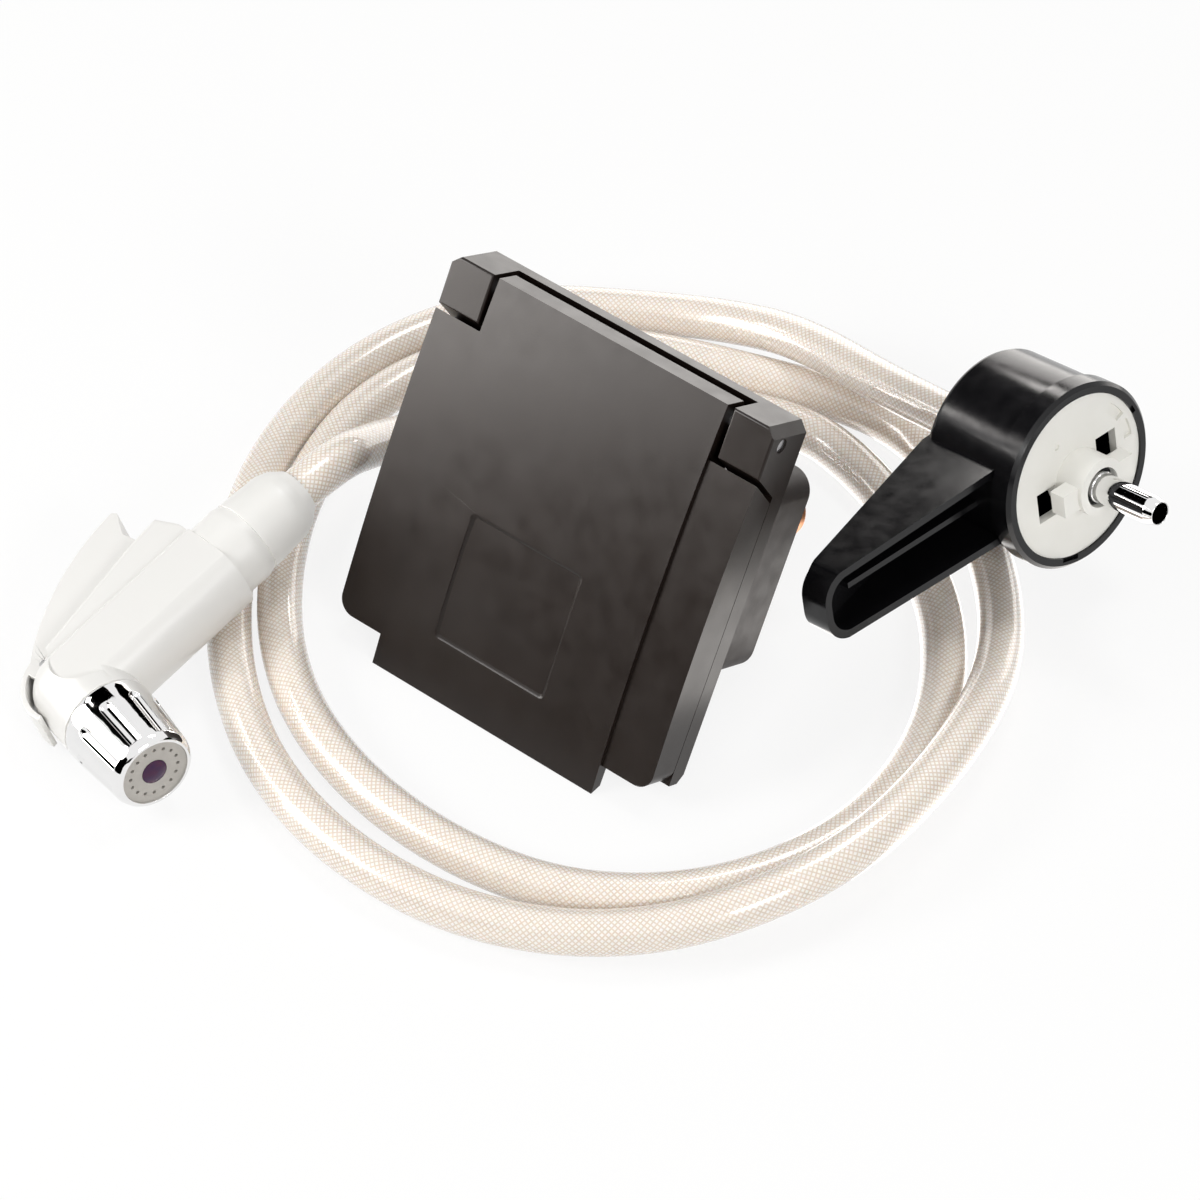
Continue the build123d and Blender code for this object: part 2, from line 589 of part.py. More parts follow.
def build_trigger():
    inner = HANDLE_R + 0.8
    outer = inner + TRIGGER_WALL

    def round_at(radius, angle):
        return (radius * cos(radians(angle)), radius * sin(radians(angle)))
    tail, bend = 188, 105
    tip = HANDLE_LONG - 9.2
    web = make_face(
        ThreePointArc(round_at(outer, tail), round_at(outer, 150), round_at(outer, bend)) +
        ThreePointArc(round_at(outer, bend), (tip / 2 + 0.3, 36.6), (tip, 42.3)) +
        Polyline((tip, 42.3), (tip + 1.2, 40.4), (tip - 3.5, 32.2), (tip - 5.5, 33.4), (tip - 2, 39.9)) +
        ThreePointArc((tip - 2, 39.9), (tip / 2 + 1.2, 34.7), round_at(inner, bend)) +
        ThreePointArc(round_at(inner, bend), round_at(inner, 150), round_at(inner, tail)) +
        Line(round_at(inner, tail), round_at(outer, tail)))
    body = extrude(web, TRIGGER_HALF, both=True)
    cheek = make_face(
        ThreePointArc(round_at(inner + 0.5, bend), (tip / 2 + 0.7, 35.7), (tip - 1.4, 41.0)) +
        Polyline((tip - 1.4, 41.0), (tip - 3.5, 32.2), (tip - 2.2, 23.9), (tip - 8.4, 19.6), (-2.0, 8.4),
                 (-7.6, 8.4), (-8.2, 14.6), round_at(inner + 0.5, bend)))
    for low in (-TRIGGER_HALF, TRIGGER_HALF - TRIGGER_WALL):
        body += Pos(0, 0, low) * extrude(cheek, TRIGGER_WALL)
    body += block((STEM_X - 2, STEM_X + 2), (STEM_TOP + MOVING_GAP, 32), (-TRIGGER_HALF, TRIGGER_HALF))
    return body - Pos(*TRIGGER_PIN_AT, 0) * rod(TRIGGER_PIN_R + RUNNING, -30, 30)


STEM_TOP = 28.2


def build_trigger_pin():
    reach = sqrt(HANDLE_R ** 2 - TRIGGER_PIN_AT[0] ** 2 - TRIGGER_PIN_AT[1] ** 2) - 0.6
    return Pos(*TRIGGER_PIN_AT, 0) * rod(TRIGGER_PIN_R, -reach, reach)


def stem_place(shape):
    return Pos(STEM_X, 0, 0) * Rot(X=-90) * shape


def build_stem():
    stem = rod(STEM_R, -5, STEM_TOP - 3)
    dome = Pos(0, 0, STEM_TOP - 4) * Sphere(4) & block((-9, 9), (-9, 9), (STEM_TOP - 3, STEM_TOP))
    return stem_place(stem + dome)


def build_gland():
    gland = rod(CHAMBER_R, 3, POCKET_FLOOR) + rod(CHAMBER_R + 1.4, POCKET_FLOOR, GLAND_TOP)
    return stem_place(gland - rod(STEM_R + RUNNING, 0, 20))


def build_spring():
    low = GLAND_TOP + SPRING_WIRE
    high = STEM_TOP - 3 - SPRING_WIRE
    rise = high - low
    curl = Helix(pitch=rise / SPRING_CURLS, height=rise, radius=SPRING_R - SPRING_WIRE)
    start = Plane(curl @ 0, z_dir=curl % 0)
    return stem_place(Pos(0, 0, low) * sweep(start * Circle(SPRING_WIRE), path=curl))


def build_valve_seat():
    return stem_place(tube(CHAMBER_R, STEM_R + 1.3, -2, 0))


def build_valve_seal():
    return stem_place(turned((STEM_R, -5), (CHAMBER_R - 1.2, -5), (CHAMBER_R - 1.2, -3.2),
                             (STEM_R + 0.8, -2 - 0.1), (STEM_R, -2 - 0.1)))


def build_neck():
    neck = rod(NECK_PLUG_R, HANDLE_LONG - 8, HANDLE_LONG)
    collar = turned((0, HANDLE_LONG), (NECK_R, HANDLE_LONG), (NECK_R + 0.3, NECK_END - 3),
                    (NECK_R - 0.6, NECK_END), (0, NECK_END))
    return Rot(Y=90) * (neck - rod(6, 0, 200)) + along_handle(collar - rod(6, 0, 200))


def build_nut():
    return along_handle(turned((NUT_BORE_R, NECK_END), (NUT_R, NECK_END), (NUT_TIP_R + 0.3, NUT_END - 8),
                               (NUT_TIP_R - 1.2, NUT_END - 4), (NUT_TIP_R - 3.6, NUT_END - 1),
                               (NUT_TIP_R - 4.4, NUT_END), (HOSE_R + 0.2, NUT_END),
                               (HOSE_R + 0.2, NUT_END - 6), (NUT_BORE_R, NUT_END - 9)))


NUT_BORE_R = 10.8
tail_face = NECK_END + 4.5


def build_washer():
    return along_handle(tube(NUT_BORE_R - 0.2, 4.2, NECK_END, NECK_END + 2))


def build_shower_tail():
    points = [(3.6, NECK_END + 2), (NUT_BORE_R, NECK_END + 2), (NUT_BORE_R, tail_face),
              (HOSE_BORE_R, tail_face)]
    for step in range(2):
        low = tail_face + 3 + 5 * step
        points += [(HOSE_BORE_R, low), (HOSE_BORE_R - 0.5, low), (HOSE_BORE_R, low + 4)]
    points += [(3.6, tail_face + 12)]
    return along_handle(turned(*points))


def build_hose_clamp():
    return along_handle(tube(HOSE_R + 1.1, HOSE_R, tail_face + 1, tail_face + 8))


def build_head():
    base = HEAD_START
    rim = HEAD_START + HEAD_LONG
    shell = turned((HEAD_BASE_R - 3, base), (HEAD_BASE_R - 0.6, base), (HEAD_BASE_R, base + 1.2),
                   (HEAD_BASE_R - 0.1, base + 7), (HEAD_RIM_R + 0.3, rim - 2.6), (HEAD_RIM_R - 0.5, rim - 0.8),
                   (HEAD_RIM_R - 1.4, rim), (ROSE_R, rim), (ROSE_R, rim - 2.4), (ROSE_R - 1.2, rim - 2.4),
                   (ROSE_R - 1.2, base + 9.5), (HEAD_BASE_R - 3, base + 8.5))
    groove = Pos(0, 0, rim - 10) * Rot(Y=-4.5) * (rod(3.2, -10.5, 7) + Pos(0, 0, -10.5) * Sphere(3.2))
    for step in range(FLUTES):
        shell -= Rot(Z=step * 360 / FLUTES) * Pos(HEAD_RIM_R + 3.1, 0, 0) * groove
    return head_place(shell)


def build_rose():
    rim = HEAD_START + HEAD_LONG
    plate = rod(ROSE_R, rim - 2.4, rim - 0.8) - rod(4.4, 0, 100)
    for step in range(ROSE_HOLES):
        plate -= Rot(Z=step * 360 / ROSE_HOLES) * Pos(8.6, 0, 0) * rod(ROSE_HOLE_R, rim - 4, rim)
    return head_place(plate)


def build_rose_button():
    rim = HEAD_START + HEAD_LONG
    dome = rod(4.4, rim - 2.4, rim - 0.6) + (Pos(0, 0, rim - 10) * Sphere(10.3) & rod(4.4, rim - 0.6, rim + 2))
    return head_place(dome)


def build_head_gasket():
    start = HEAD_START + 8
    return head_place(tube(ROSE_R - 1.2, 8, start + 1.5, start + 3))


# Hose: corners of its route on the floor, from the hand shower's nut to the plug
ROUTE = (
    (-73.5, 43.0, 31.0), (-57.0, 65.0, 15.0), (-34.0, 81.0, 7.6), (0.0, 88.5, 7.6),
    (37.0, 85.5, 7.6), (69.5, 74.5, 7.6), (86.0, 56.5, 7.6), (98.5, 35.0, 7.6), (107.0, 9.0, 7.6),
    (113.0, -20.0, 7.6), (110.5, -55.0, 7.6), (98.5, -85.5, 7.6), (79.0, -110.5, 7.6), (51.5, -128.5, 7.6),
    (19.0, -137.0, 7.6), (-16.0, -133.5, 7.6), (-49.0, -115.5, 7.6), (-76.0, -90.0, 7.6),
    (-95.0, -60.0, 7.6), (-104.5, -28.0, 7.6), (-106.0, 6.0, 7.6), (-101.0, 41.0, 7.6),
    (-87.5, 74.5, 7.6), (-68.0, 97.0, 7.6), (-42.0, 110.5, 7.6), (-10.0, 115.5, 7.6), (22.0, 110.0, 7.6),
    (54.0, 99.0, 7.6), (79.0, 89.5, 7.6), (102.5, 74.5, 7.6), (118.0, 50.5, 7.6), (127.5, 23.0, 7.6),
    (132.0, -7.0, 7.6), (130.0, -38.0, 11.0), (120.5, -68.5, 16.9), (103.5, -98.5, 18.2),
    (80.5, -126.0, 18.0), (51.0, -145.0, 16.0), (18.0, -153.0, 10.5), (-18.0, -151.0, 7.6),
    (-54.0, -138.5, 7.6), (-86.0, -112.5, 7.6), (-108.0, -80.0, 7.6), (-119.5, -43.5, 7.6),
    (-122.5, -6.0, 7.6), (-119.5, 32.0, 7.6), (-108.0, 69.0, 7.6), (-87.5, 101.0, 7.6), (-58.0, 124.0, 7.6),
    (-24.0, 135.0, 7.6), (11.0, 131.0, 8.5), (44.0, 121.5, 13.0), (70.0, 103.0, 22.0))


def hose_corners():
    start = shower_place * Pos(tail_face, NECK_SIDE, 0)
    first = shower_place * Pos(tail_face + 33, NECK_SIDE, 0)
    finish = plug_place * Pos(0, 0, hose_end)
    last = plug_place * Pos(0, 0, hose_end - 47)
    return [start.position, first.position, *[Vector(*point) for point in ROUTE], last.position, finish.position]


def hose_radii(corners):
    radii = []
    for before, corner, after in zip(corners, corners[1:], corners[2:]):
        half_turn = radians((corner - before).get_angle(after - corner)) / 2
        radii.append(0.45 * min((corner - before).length, (after - corner).length) / tan(half_turn))
    return radii


def build_hose():
    corners = hose_corners()
    radii = hose_radii(corners)
    path = FilletPolyline(*corners, radius=radii)
    start = Plane(path @ 0, z_dir=path % 0)
    hose = sweep(start * (Circle(HOSE_R) - Circle(HOSE_BORE_R)), path=path)
    section = 3.141593 * (HOSE_R ** 2 - HOSE_BORE_R ** 2)
    print("hose length", round(path.length, 1), "least radius", round(min(radii), 1),
          "volume over section times length", round(hose.volume / section / path.length, 5))
    print("least gap of the hose to itself", round(hose_gap(path), 2))
    return hose


def hose_gap(path):
    """The least gap between strands, on points about 3 mm apart."""
    points = []
    for edge in path.edges():
        count = max(1, round(edge.length / 3))
        points += [edge @ (step / count) for step in range(count)]
    skip = 20
    return min((a - b).length for i, a in enumerate(points) for b in points[i + skip:]) - 2 * HOSE_R


# Everything, each piece under its own name
box_parts = {
    "wall_frame": build_frame(),
    "lid": build_lid(),
    "hinge_pins": build_hinge_pins(),
    "lid_seal": seal_ring(SEAL_WIDE, FRAME_FRONT - SEAL_TALL + 1.5, FRAME_FRONT + 1.5),
    "lid_catch": build_catch(),
    "wall_gasket": gasket_ring(),
    "rear_tub": build_tub(),
    "socket_plate": build_plate(),
    "plate_screws": build_plate_screws(),
    "socket_ring": build_socket(),
    "mixer_rotor": build_rotor(),
    "rotor_seals": build_rotor_seals(),
    "mixer_body": build_mixer_body(),
    "hot_tail": build_tail(-TAIL_X),
    "cold_tail": build_tail(TAIL_X),
    "tail_olives": build_olives(),
    "tail_nuts": build_tail_nuts(),
}
plug_parts = {
    "lever_shell": build_lever_shell(),
    "bayonet_disc": build_disc(),
    "plug_bush": build_plug_bush(),
    "spigot": build_spigot(),
    "spigot_seals": build_spigot_seals(),
    "spigot_clip": build_spigot_clip(),
    "plug_tail": build_plug_tail(),
    "plug_ferrule": build_plug_ferrule(),
}
shower_parts = {
    "shower_body": build_body(),
    "trigger": build_trigger(),
    "trigger_pin": build_trigger_pin(),
    "valve_stem": build_stem(),
    "valve_gland": build_gland(),
    "trigger_spring": build_spring(),
    "valve_seat": build_valve_seat(),
    "valve_seal": build_valve_seal(),
    "neck_collar": build_neck(),
    "hose_nut": build_nut(),
    "tail_washer": build_washer(),
    "shower_tail": build_shower_tail(),
    "hose_clamp": build_hose_clamp(),
    "head_shell": build_head(),
    "rose_plate": build_rose(),
    "rose_button": build_rose_button(),
    "head_gasket": build_head_gasket(),
}
for group, place in ((box_parts, box_place), (plug_parts, plug_place), (shower_parts, shower_place)):
    for name, shape in group.items():
        parts[name] = place * shape

boxes = [shape.bounding_box() for shape in parts.values()]
low_x = min(box.min.X for box in boxes)
high_x = max(box.max.X for box in boxes)
low_y = min(box.min.Y for box in boxes)
high_y = max(box.max.Y for box in boxes)
to_origin = Pos(-(low_x + high_x) / 2, -(low_y + high_y) / 2, 0)
print("moved by", to_origin.position, "lowest", round(min(box.min.Z for box in boxes), 3))
parts["hose"] = build_hose()

os.makedirs("parts", exist_ok=True)
for name, shape in parts.items():
    export_step(to_origin * shape, f"parts/{name}.step")
for title, place, spot in (
        ("lid hinge", box_place, (0, HINGE_DEEP, -HINGE_DOWN)),
        ("socket", box_place, (0, TURN_END, TUB_MIDDLE)),
        ("plug", plug_place, (0, 0, 0)),
        ("trigger", shower_place, (*TRIGGER_PIN_AT, 0)),
        ("stem", shower_place, (STEM_X, 0, 0))):
    print(title, (to_origin * place * Pos(*spot)).position)
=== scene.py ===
# External shower point: a lidded wall box, a lever plug and a trigger hand shower on one braided hose
import math

import bmesh
import bpy
from mathutils import Matrix, Vector
from mathutils.bvhtree import BVHTree


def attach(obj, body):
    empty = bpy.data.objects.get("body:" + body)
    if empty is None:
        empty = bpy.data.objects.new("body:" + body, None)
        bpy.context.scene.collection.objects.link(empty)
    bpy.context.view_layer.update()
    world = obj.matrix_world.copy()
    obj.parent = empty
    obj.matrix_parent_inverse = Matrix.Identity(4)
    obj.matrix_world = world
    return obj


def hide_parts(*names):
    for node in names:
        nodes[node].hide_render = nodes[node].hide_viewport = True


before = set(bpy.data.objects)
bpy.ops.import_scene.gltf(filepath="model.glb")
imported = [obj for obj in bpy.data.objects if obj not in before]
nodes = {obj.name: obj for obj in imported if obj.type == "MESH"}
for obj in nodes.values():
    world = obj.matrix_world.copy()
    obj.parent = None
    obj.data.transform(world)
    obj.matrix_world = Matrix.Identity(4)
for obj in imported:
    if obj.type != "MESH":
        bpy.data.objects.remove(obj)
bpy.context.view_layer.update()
home = "wall_box_and_hose"  # the body that everything fixed rides on
mm = 0.001
print("frame loaded,", len(nodes), "nodes")

# Camera

camera = {
    "at": (2.1, -1227.1, 1297.0),  # mm
    "tilt": 43.9,  # degrees up from straight down
    "lens": 163.2,
    "sensor": 36,
    "far": 20,  # metres
}


def putIn(name, data):
    piece = bpy.data.objects.new(name, data)
    bpy.context.scene.collection.objects.link(piece)
    return piece


def setCamera():
    lensData = bpy.data.cameras.new("camera")
    lensData.lens = camera["lens"]
    lensData.sensor_width = camera["sensor"]
    lensData.clip_end = camera["far"]
    rig = putIn("camera", lensData)
    rig.location = Vector(camera["at"]) * mm
    rig.rotation_euler = (math.radians(camera["tilt"]), 0, 0)
    bpy.context.scene.camera = rig


setCamera()
print("camera set")

# Hose

hose = {
    "across": 15.0,
    "length": 1900.0,
    "sides": 32,
    "step": 1.6,  # mm between rings
    "fineness": 24,  # points of the curve for each corner
    "moved": (2.08, 20.98, 0.0),  # from the middle of the picture to the middle of the object
    "start": (-109.76, 18.56, 36.31),  # in the hand shower's nut
    "second": (-86.85, 40.76, 44.74),
    "last": (104.12, 81.79, 34.63),
    "end": (135.02, 48.31, 46.16),  # in the back of the plug
    "route": (  # corners between those, before the move
        (-73.5, 43.0, 31.0), (-57.0, 65.0, 15.0), (-34.0, 81.0, 7.6), (0.0, 88.5, 7.6),
        (37.0, 85.5, 7.6), (69.5, 74.5, 7.6), (86.0, 56.5, 7.6), (98.5, 35.0, 7.6), (107.0, 9.0, 7.6),
        (113.0, -20.0, 7.6), (110.5, -55.0, 7.6), (98.5, -85.5, 7.6), (79.0, -110.5, 7.6),
        (51.5, -128.5, 7.6), (19.0, -137.0, 7.6), (-16.0, -133.5, 7.6), (-49.0, -115.5, 7.6),
        (-76.0, -90.0, 7.6), (-95.0, -60.0, 7.6), (-104.5, -28.0, 7.6), (-106.0, 6.0, 7.6),
        (-101.0, 41.0, 7.6), (-87.5, 74.5, 7.6), (-68.0, 97.0, 7.6), (-42.0, 110.5, 7.6),
        (-10.0, 115.5, 7.6), (22.0, 110.0, 7.6), (54.0, 99.0, 7.6), (79.0, 89.5, 7.6),
        (102.5, 74.5, 7.6), (118.0, 50.5, 7.6), (127.5, 23.0, 7.6), (132.0, -7.0, 7.6),
        (130.0, -38.0, 11.0), (120.5, -68.5, 16.9), (103.5, -98.5, 18.2), (80.5, -126.0, 18.0),
        (51.0, -145.0, 16.0), (18.0, -153.0, 10.5), (-18.0, -151.0, 7.6), (-54.0, -138.5, 7.6),
        (-86.0, -112.5, 7.6), (-108.0, -80.0, 7.6), (-119.5, -43.5, 7.6), (-122.5, -6.0, 7.6),
        (-119.5, 32.0, 7.6), (-108.0, 69.0, 7.6), (-87.5, 101.0, 7.6), (-58.0, 124.0, 7.6),
        (-24.0, 135.0, 7.6), (11.0, 131.0, 8.5), (44.0, 121.5, 13.0), (70.0, 103.0, 22.0),
    ),
}


def smoothLine(corners):
    line = bpy.data.curves.new("hoseLine", "CURVE")
    line.dimensions = "3D"
    line.resolution_u = hose["fineness"]
    spline = line.splines.new("NURBS")
    spline.points.add(len(corners) - 1)
    for point, corner in zip(spline.points, corners):
        point.co = (*corner, 1)
    spline.order_u = 3
    spline.use_endpoint_u = True
    holder = putIn("hoseLine", line)
    mesh = bpy.data.meshes.new_from_object(holder)
    points = [vertex.co.copy() for vertex in mesh.vertices]
    bpy.data.objects.remove(holder)
    bpy.data.meshes.remove(mesh)
    return points


def evenly(points, step):
    even = [points[0].copy()]
    left = step
    for before, after in zip(points, points[1:]):
        run = (after - before).length
        way = 0.0
        while run - way >= left:
            way += left
            even.append(before.lerp(after, way / run))
            left = step
        left -= run - way
    even[-1] = points[-1].copy()
    return even


def tubeAlong(name, points, radius, sides):
    mesh = bpy.data.meshes.new(name)
    body = bmesh.new()
    uv = body.loops.layers.uv.new("wound")
    ahead = (points[1] - points[0]).normalized()
    across = ahead.orthogonal().normalized()
    rings = []
    along = [0.0]
    for index, point in enumerate(points):
        if index:
            along.append(along[-1] + (point - points[index - 1]).length)
        after = points[min(index + 1, len(points) - 1)]
        before = points[max(index - 1, 0)]
        turned = (after - before).normalized()
        across = ahead.rotation_difference(turned) @ across
        ahead = turned
        across = (across - ahead * across.dot(ahead)).normalized()
        side = ahead.cross(across)
        ring = []
        for step in range(sides):
            angle = 2 * math.pi * step / sides
            out = across * math.cos(angle) + side * math.sin(angle)
            ring.append(body.verts.new(point + out * radius))
        rings.append(ring)
    for index in range(len(rings) - 1):
        for step in range(sides):
            after = (step + 1) % sides
            face = body.faces.new((rings[index][step], rings[index][after],
                                   rings[index + 1][after], rings[index + 1][step]))
            face.smooth = True
            turns = (step / sides, (step + 1) / sides, (step + 1) / sides, step / sides)
            lengths = (along[index], along[index], along[index + 1], along[index + 1])
            for loop, turn, length in zip(face.loops, turns, lengths):
                loop[uv].uv = (turn, length)
    body.faces.new(list(reversed(rings[0])))
    body.faces.new(rings[-1])
    body.to_mesh(mesh)
    body.free()
    return putIn(name, mesh)


def makeHose():
    shift = Vector(hose["moved"])
    corners = [Vector(hose["start"]), Vector(hose["second"])]
    corners += [Vector(corner) + shift for corner in hose["route"]]
    corners += [Vector(hose["last"]), Vector(hose["end"])]
    corners = [corner * mm for corner in corners]
    points = evenly(smoothLine(corners), hose["step"] * mm)
    piece = tubeAlong("braidedHose", points, hose["across"] / 2 * mm, hose["sides"])
    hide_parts("hose")
    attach(piece, home)
    return piece


hosePiece = makeHose()
print("hose laid")

# Drafted edge of the lid's square, where the moulded panel is let in

lidSquare = {
    "across": 45.6,
    "side": -3.7,  # mm from the middle of the box
    "up": 43.1,  # mm above the lid's lower edge
    "lidLow": -139.6,  # that edge, from the top of the box
    "cornerSteps": 5,
    "margin": 0.6,  # mm outside the square, where the lid's face is found
    "ahead": 60,  # mm in front of the box, where the search starts
    # Each loop from outside to inside: how far in, the corner's radius, how far proud of the lid's face
    "edge": (
        (-0.25, 2.2, 0.03),
        (0.35, 1.8, -0.12),
        (0.78, 1.4, -0.45),
        (1.3, 1.0, -0.775),
    ),
}
boxAt = {  # the middle of the box's top front edge, in mm, with its turns in degrees
    "top": (4.0, -4.2, 121.906),
    "turn": -38.86,
    "lean": 29.1612,
    "moved": (2.07526, 20.9829, 0.0),
}


def boxPlace():
    place = Matrix.Translation(Vector(boxAt["top"]) + Vector(boxAt["moved"]))
    return (place @ Matrix.Rotation(math.radians(boxAt["turn"]), 4, "Z")
            @ Matrix.Rotation(math.radians(-boxAt["lean"]), 4, "X"))


def roundedSquare(half, corner):
    steps = lidSquare["cornerSteps"]
    points = []
    for turn in range(4):
        middle = Vector((half - corner, half - corner)) @ Matrix.Rotation(-math.radians(90 * turn), 2)
        for step in range(steps + 1):
            angle = math.radians(90 * turn + 90 * step / steps)
            points.append((middle.x + corner * math.cos(angle), middle.y + corner * math.sin(angle)))
    return points


def makeLidSquare():
    place = boxPlace()
    back = place.inverted() @ Matrix.Scale(1 / mm, 4)
    lid = nodes["lid"]
    tree = BVHTree.FromPolygons([back @ vertex.co for vertex in lid.data.vertices],
                                [face.vertices[:] for face in lid.data.polygons])
    half = lidSquare["across"] / 2
    middle = Vector((lidSquare["side"], lidSquare["lidLow"] + lidSquare["up"]))
    loops = []
    for inset, corner, proud in lidSquare["edge"]:
        loop = []
        for x, up in roundedSquare(half - inset, corner):
            out = Vector((x, up)) * ((half + lidSquare["margin"]) / (half - inset))
            start = Vector((middle.x + out.x, -lidSquare["ahead"], middle.y + out.y))
            hit = tree.ray_cast(start, Vector((0, 1, 0)))[0]
            loop.append(Vector((middle.x + x, hit.y - proud, middle.y + up)))
        loops.append(loop)
    body = bmesh.new()
    rings = [[body.verts.new(place @ point * mm) for point in loop] for loop in loops]
    count = len(rings[0])
    for ring, inner in zip(rings, rings[1:]):
        for step in range(count):
            after = (step + 1) % count
            face = body.faces.new((ring[step], ring[after], inner[after], inner[step]))
            face.smooth = True
    mesh = bpy.data.meshes.new("lidSquareEdge")
    body.to_mesh(mesh)
    body.free()
    piece = putIn("lidSquareEdge", mesh)
    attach(piece, "lid")
    return piece


# Materials

noiseRange = (0.3, 0.7)  # where nearly all of a noise's values lie


def newMaterial(name):
    material = bpy.data.materials.new(name)
    material.use_nodes = True
    tree = material.node_tree
    return material, tree, tree.nodes["Principled BSDF"]


def addNode(tree, kind, **values):
    made = tree.nodes.new(kind)
    for key, value in values.items():
        setattr(made, key, value)
    return made


def noise(tree, size, detail):
    where = addNode(tree, "ShaderNodeTexCoord")
    made = addNode(tree, "ShaderNodeTexNoise")
    made.inputs["Scale"].default_value = 1 / (size * mm)
    made.inputs["Detail"].default_value = detail
    tree.links.new(where.outputs["Object"], made.inputs["Vector"])
    return made.outputs["Fac"]


def spread(tree, value, low, high):
    made = addNode(tree, "ShaderNodeMapRange")
    made.inputs["From Min"].default_value = noiseRange[0]
    made.inputs["From Max"].default_value = noiseRange[1]
    made.inputs["To Min"].default_value = low
    made.inputs["To Max"].default_value = high
    tree.links.new(value, made.inputs["Value"])
    return made.outputs["Result"]


def between(tree, value, one, other):
    made = addNode(tree, "ShaderNodeMix", data_type="RGBA")
    made.inputs["A"].default_value = (*one, 1)
    made.inputs["B"].default_value = (*other, 1)
    tree.links.new(value, made.inputs["Factor"])
    return made.outputs["Result"]


def bumps(tree, shader, *layers):
    below = None
    for height, depth in layers:
        made = addNode(tree, "ShaderNodeBump")
        made.inputs["Distance"].default_value = depth * mm
        tree.links.new(height, made.inputs["Height"])
        if below:
            tree.links.new(below, made.inputs["Normal"])
        below = made.outputs["Normal"]
    tree.links.new(below, shader.inputs["Normal"])


# Patch, grain and swell are the sizes of noises in mm, and each depth is the height of a bump in mm

finishes = {
    "boxPlastic": {
        "colours": ((0.0105, 0.0066, 0.005), (0.0155, 0.0102, 0.008)), "patch": 22.0,
        "roughness": (0.28, 0.36), "specular": 0.3, "coat": 0.0,
        "grain": 0.55, "grainDepth": 0.012, "swell": 9.0, "swellDepth": 0.025,
    },
    "tubPlastic": {
        "colours": ((0.018, 0.014, 0.013), (0.028, 0.022, 0.020)), "patch": 15.0,
        "roughness": (0.5, 0.6), "specular": 0.4, "coat": 0.0,
        "grain": 0.7, "grainDepth": 0.01, "swell": 12.0, "swellDepth": 0.02,
    },
    "leverPlastic": {
        "colours": ((0.0035, 0.0034, 0.0042), (0.006, 0.0058, 0.0066)), "patch": 14.0,
        "roughness": (0.16, 0.24), "specular": 0.34, "coat": 0.0,
        "grain": 0.6, "grainDepth": 0.006, "swell": 8.0, "swellDepth": 0.02,
    },
    "discPlastic": {
        "colours": ((0.82, 0.81, 0.76), (0.87, 0.86, 0.82)), "patch": 9.0,
        "roughness": (0.38, 0.5), "specular": 0.5, "coat": 0.0,
        "grain": 0.6, "grainDepth": 0.008, "swell": 6.0, "swellDepth": 0.02,
    },
    "showerPlastic": {
        "colours": ((0.795, 0.785, 0.76), (0.80, 0.79, 0.765)), "patch": 20.0,
        "roughness": (0.275, 0.285), "specular": 0.5, "coat": 0.1,
        "grain": 0.9, "grainDepth": 0.003, "swell": 14.0, "swellDepth": 0.008,
    },
    "nutPlastic": {
        "colours": ((0.78, 0.77, 0.74), (0.83, 0.82, 0.795)), "patch": 16.0,
        "roughness": (0.34, 0.42), "specular": 0.5, "coat": 0.0,
        "grain": 0.8, "grainDepth": 0.005, "swell": 8.0, "swellDepth": 0.02,
    },
    "rosePlastic": {
        "colours": ((0.42, 0.40, 0.37), (0.50, 0.475, 0.44)), "patch": 5.0,
        "roughness": (0.4, 0.5), "specular": 0.5, "coat": 0.0,
        "grain": 0.5, "grainDepth": 0.008, "swell": 4.0, "swellDepth": 0.01,
    },
    "roseButtonPlastic": {
        "colours": ((0.012, 0.012, 0.07), (0.09, 0.012, 0.035)), "patch": 3.5,
        "roughness": (0.14, 0.2), "specular": 0.3, "coat": 0.0,
        "grain": 0.4, "grainDepth": 0.003, "swell": 3.0, "swellDepth": 0.01,
    },
    "rubber": {
        "colours": ((0.012, 0.012, 0.012), (0.022, 0.022, 0.022)), "patch": 6.0,
        "roughness": (0.7, 0.85), "specular": 0.3, "coat": 0.0,
        "grain": 0.4, "grainDepth": 0.01, "swell": 5.0, "swellDepth": 0.02,
    },
    "socketPlastic": {
        "colours": ((0.45, 0.45, 0.43), (0.52, 0.52, 0.50)), "patch": 9.0,
        "roughness": (0.35, 0.45), "specular": 0.5, "coat": 0.0,
        "grain": 0.6, "grainDepth": 0.006, "swell": 6.0, "swellDepth": 0.01,
    },
}
metals = {
    "chrome": {
        "colours": ((0.80, 0.80, 0.80), (0.86, 0.855, 0.85)), "patch": 12.0,
        "roughness": (0.03, 0.06), "swell": 7.0, "swellDepth": 0.012,
    },
    "steel": {
        "colours": ((0.42, 0.42, 0.43), (0.55, 0.55, 0.56)), "patch": 5.0,
        "roughness": (0.25, 0.38), "swell": 3.0, "swellDepth": 0.01,
    },
    "brass": {
        "colours": ((0.55, 0.36, 0.13), (0.66, 0.46, 0.20)), "patch": 6.0,
        "roughness": (0.22, 0.36), "swell": 3.0, "swellDepth": 0.01,
    },
    "copper": {
        "colours": ((0.36, 0.14, 0.055), (0.60, 0.27, 0.12)), "patch": 7.0,
        "roughness": (0.28, 0.48), "swell": 4.0, "swellDepth": 0.02,
    },
}
roughShare = {"plastic": 0.4, "metal": 0.3}  # size of the rough patches, as a share of the colour's
coatRoughness = 0.12


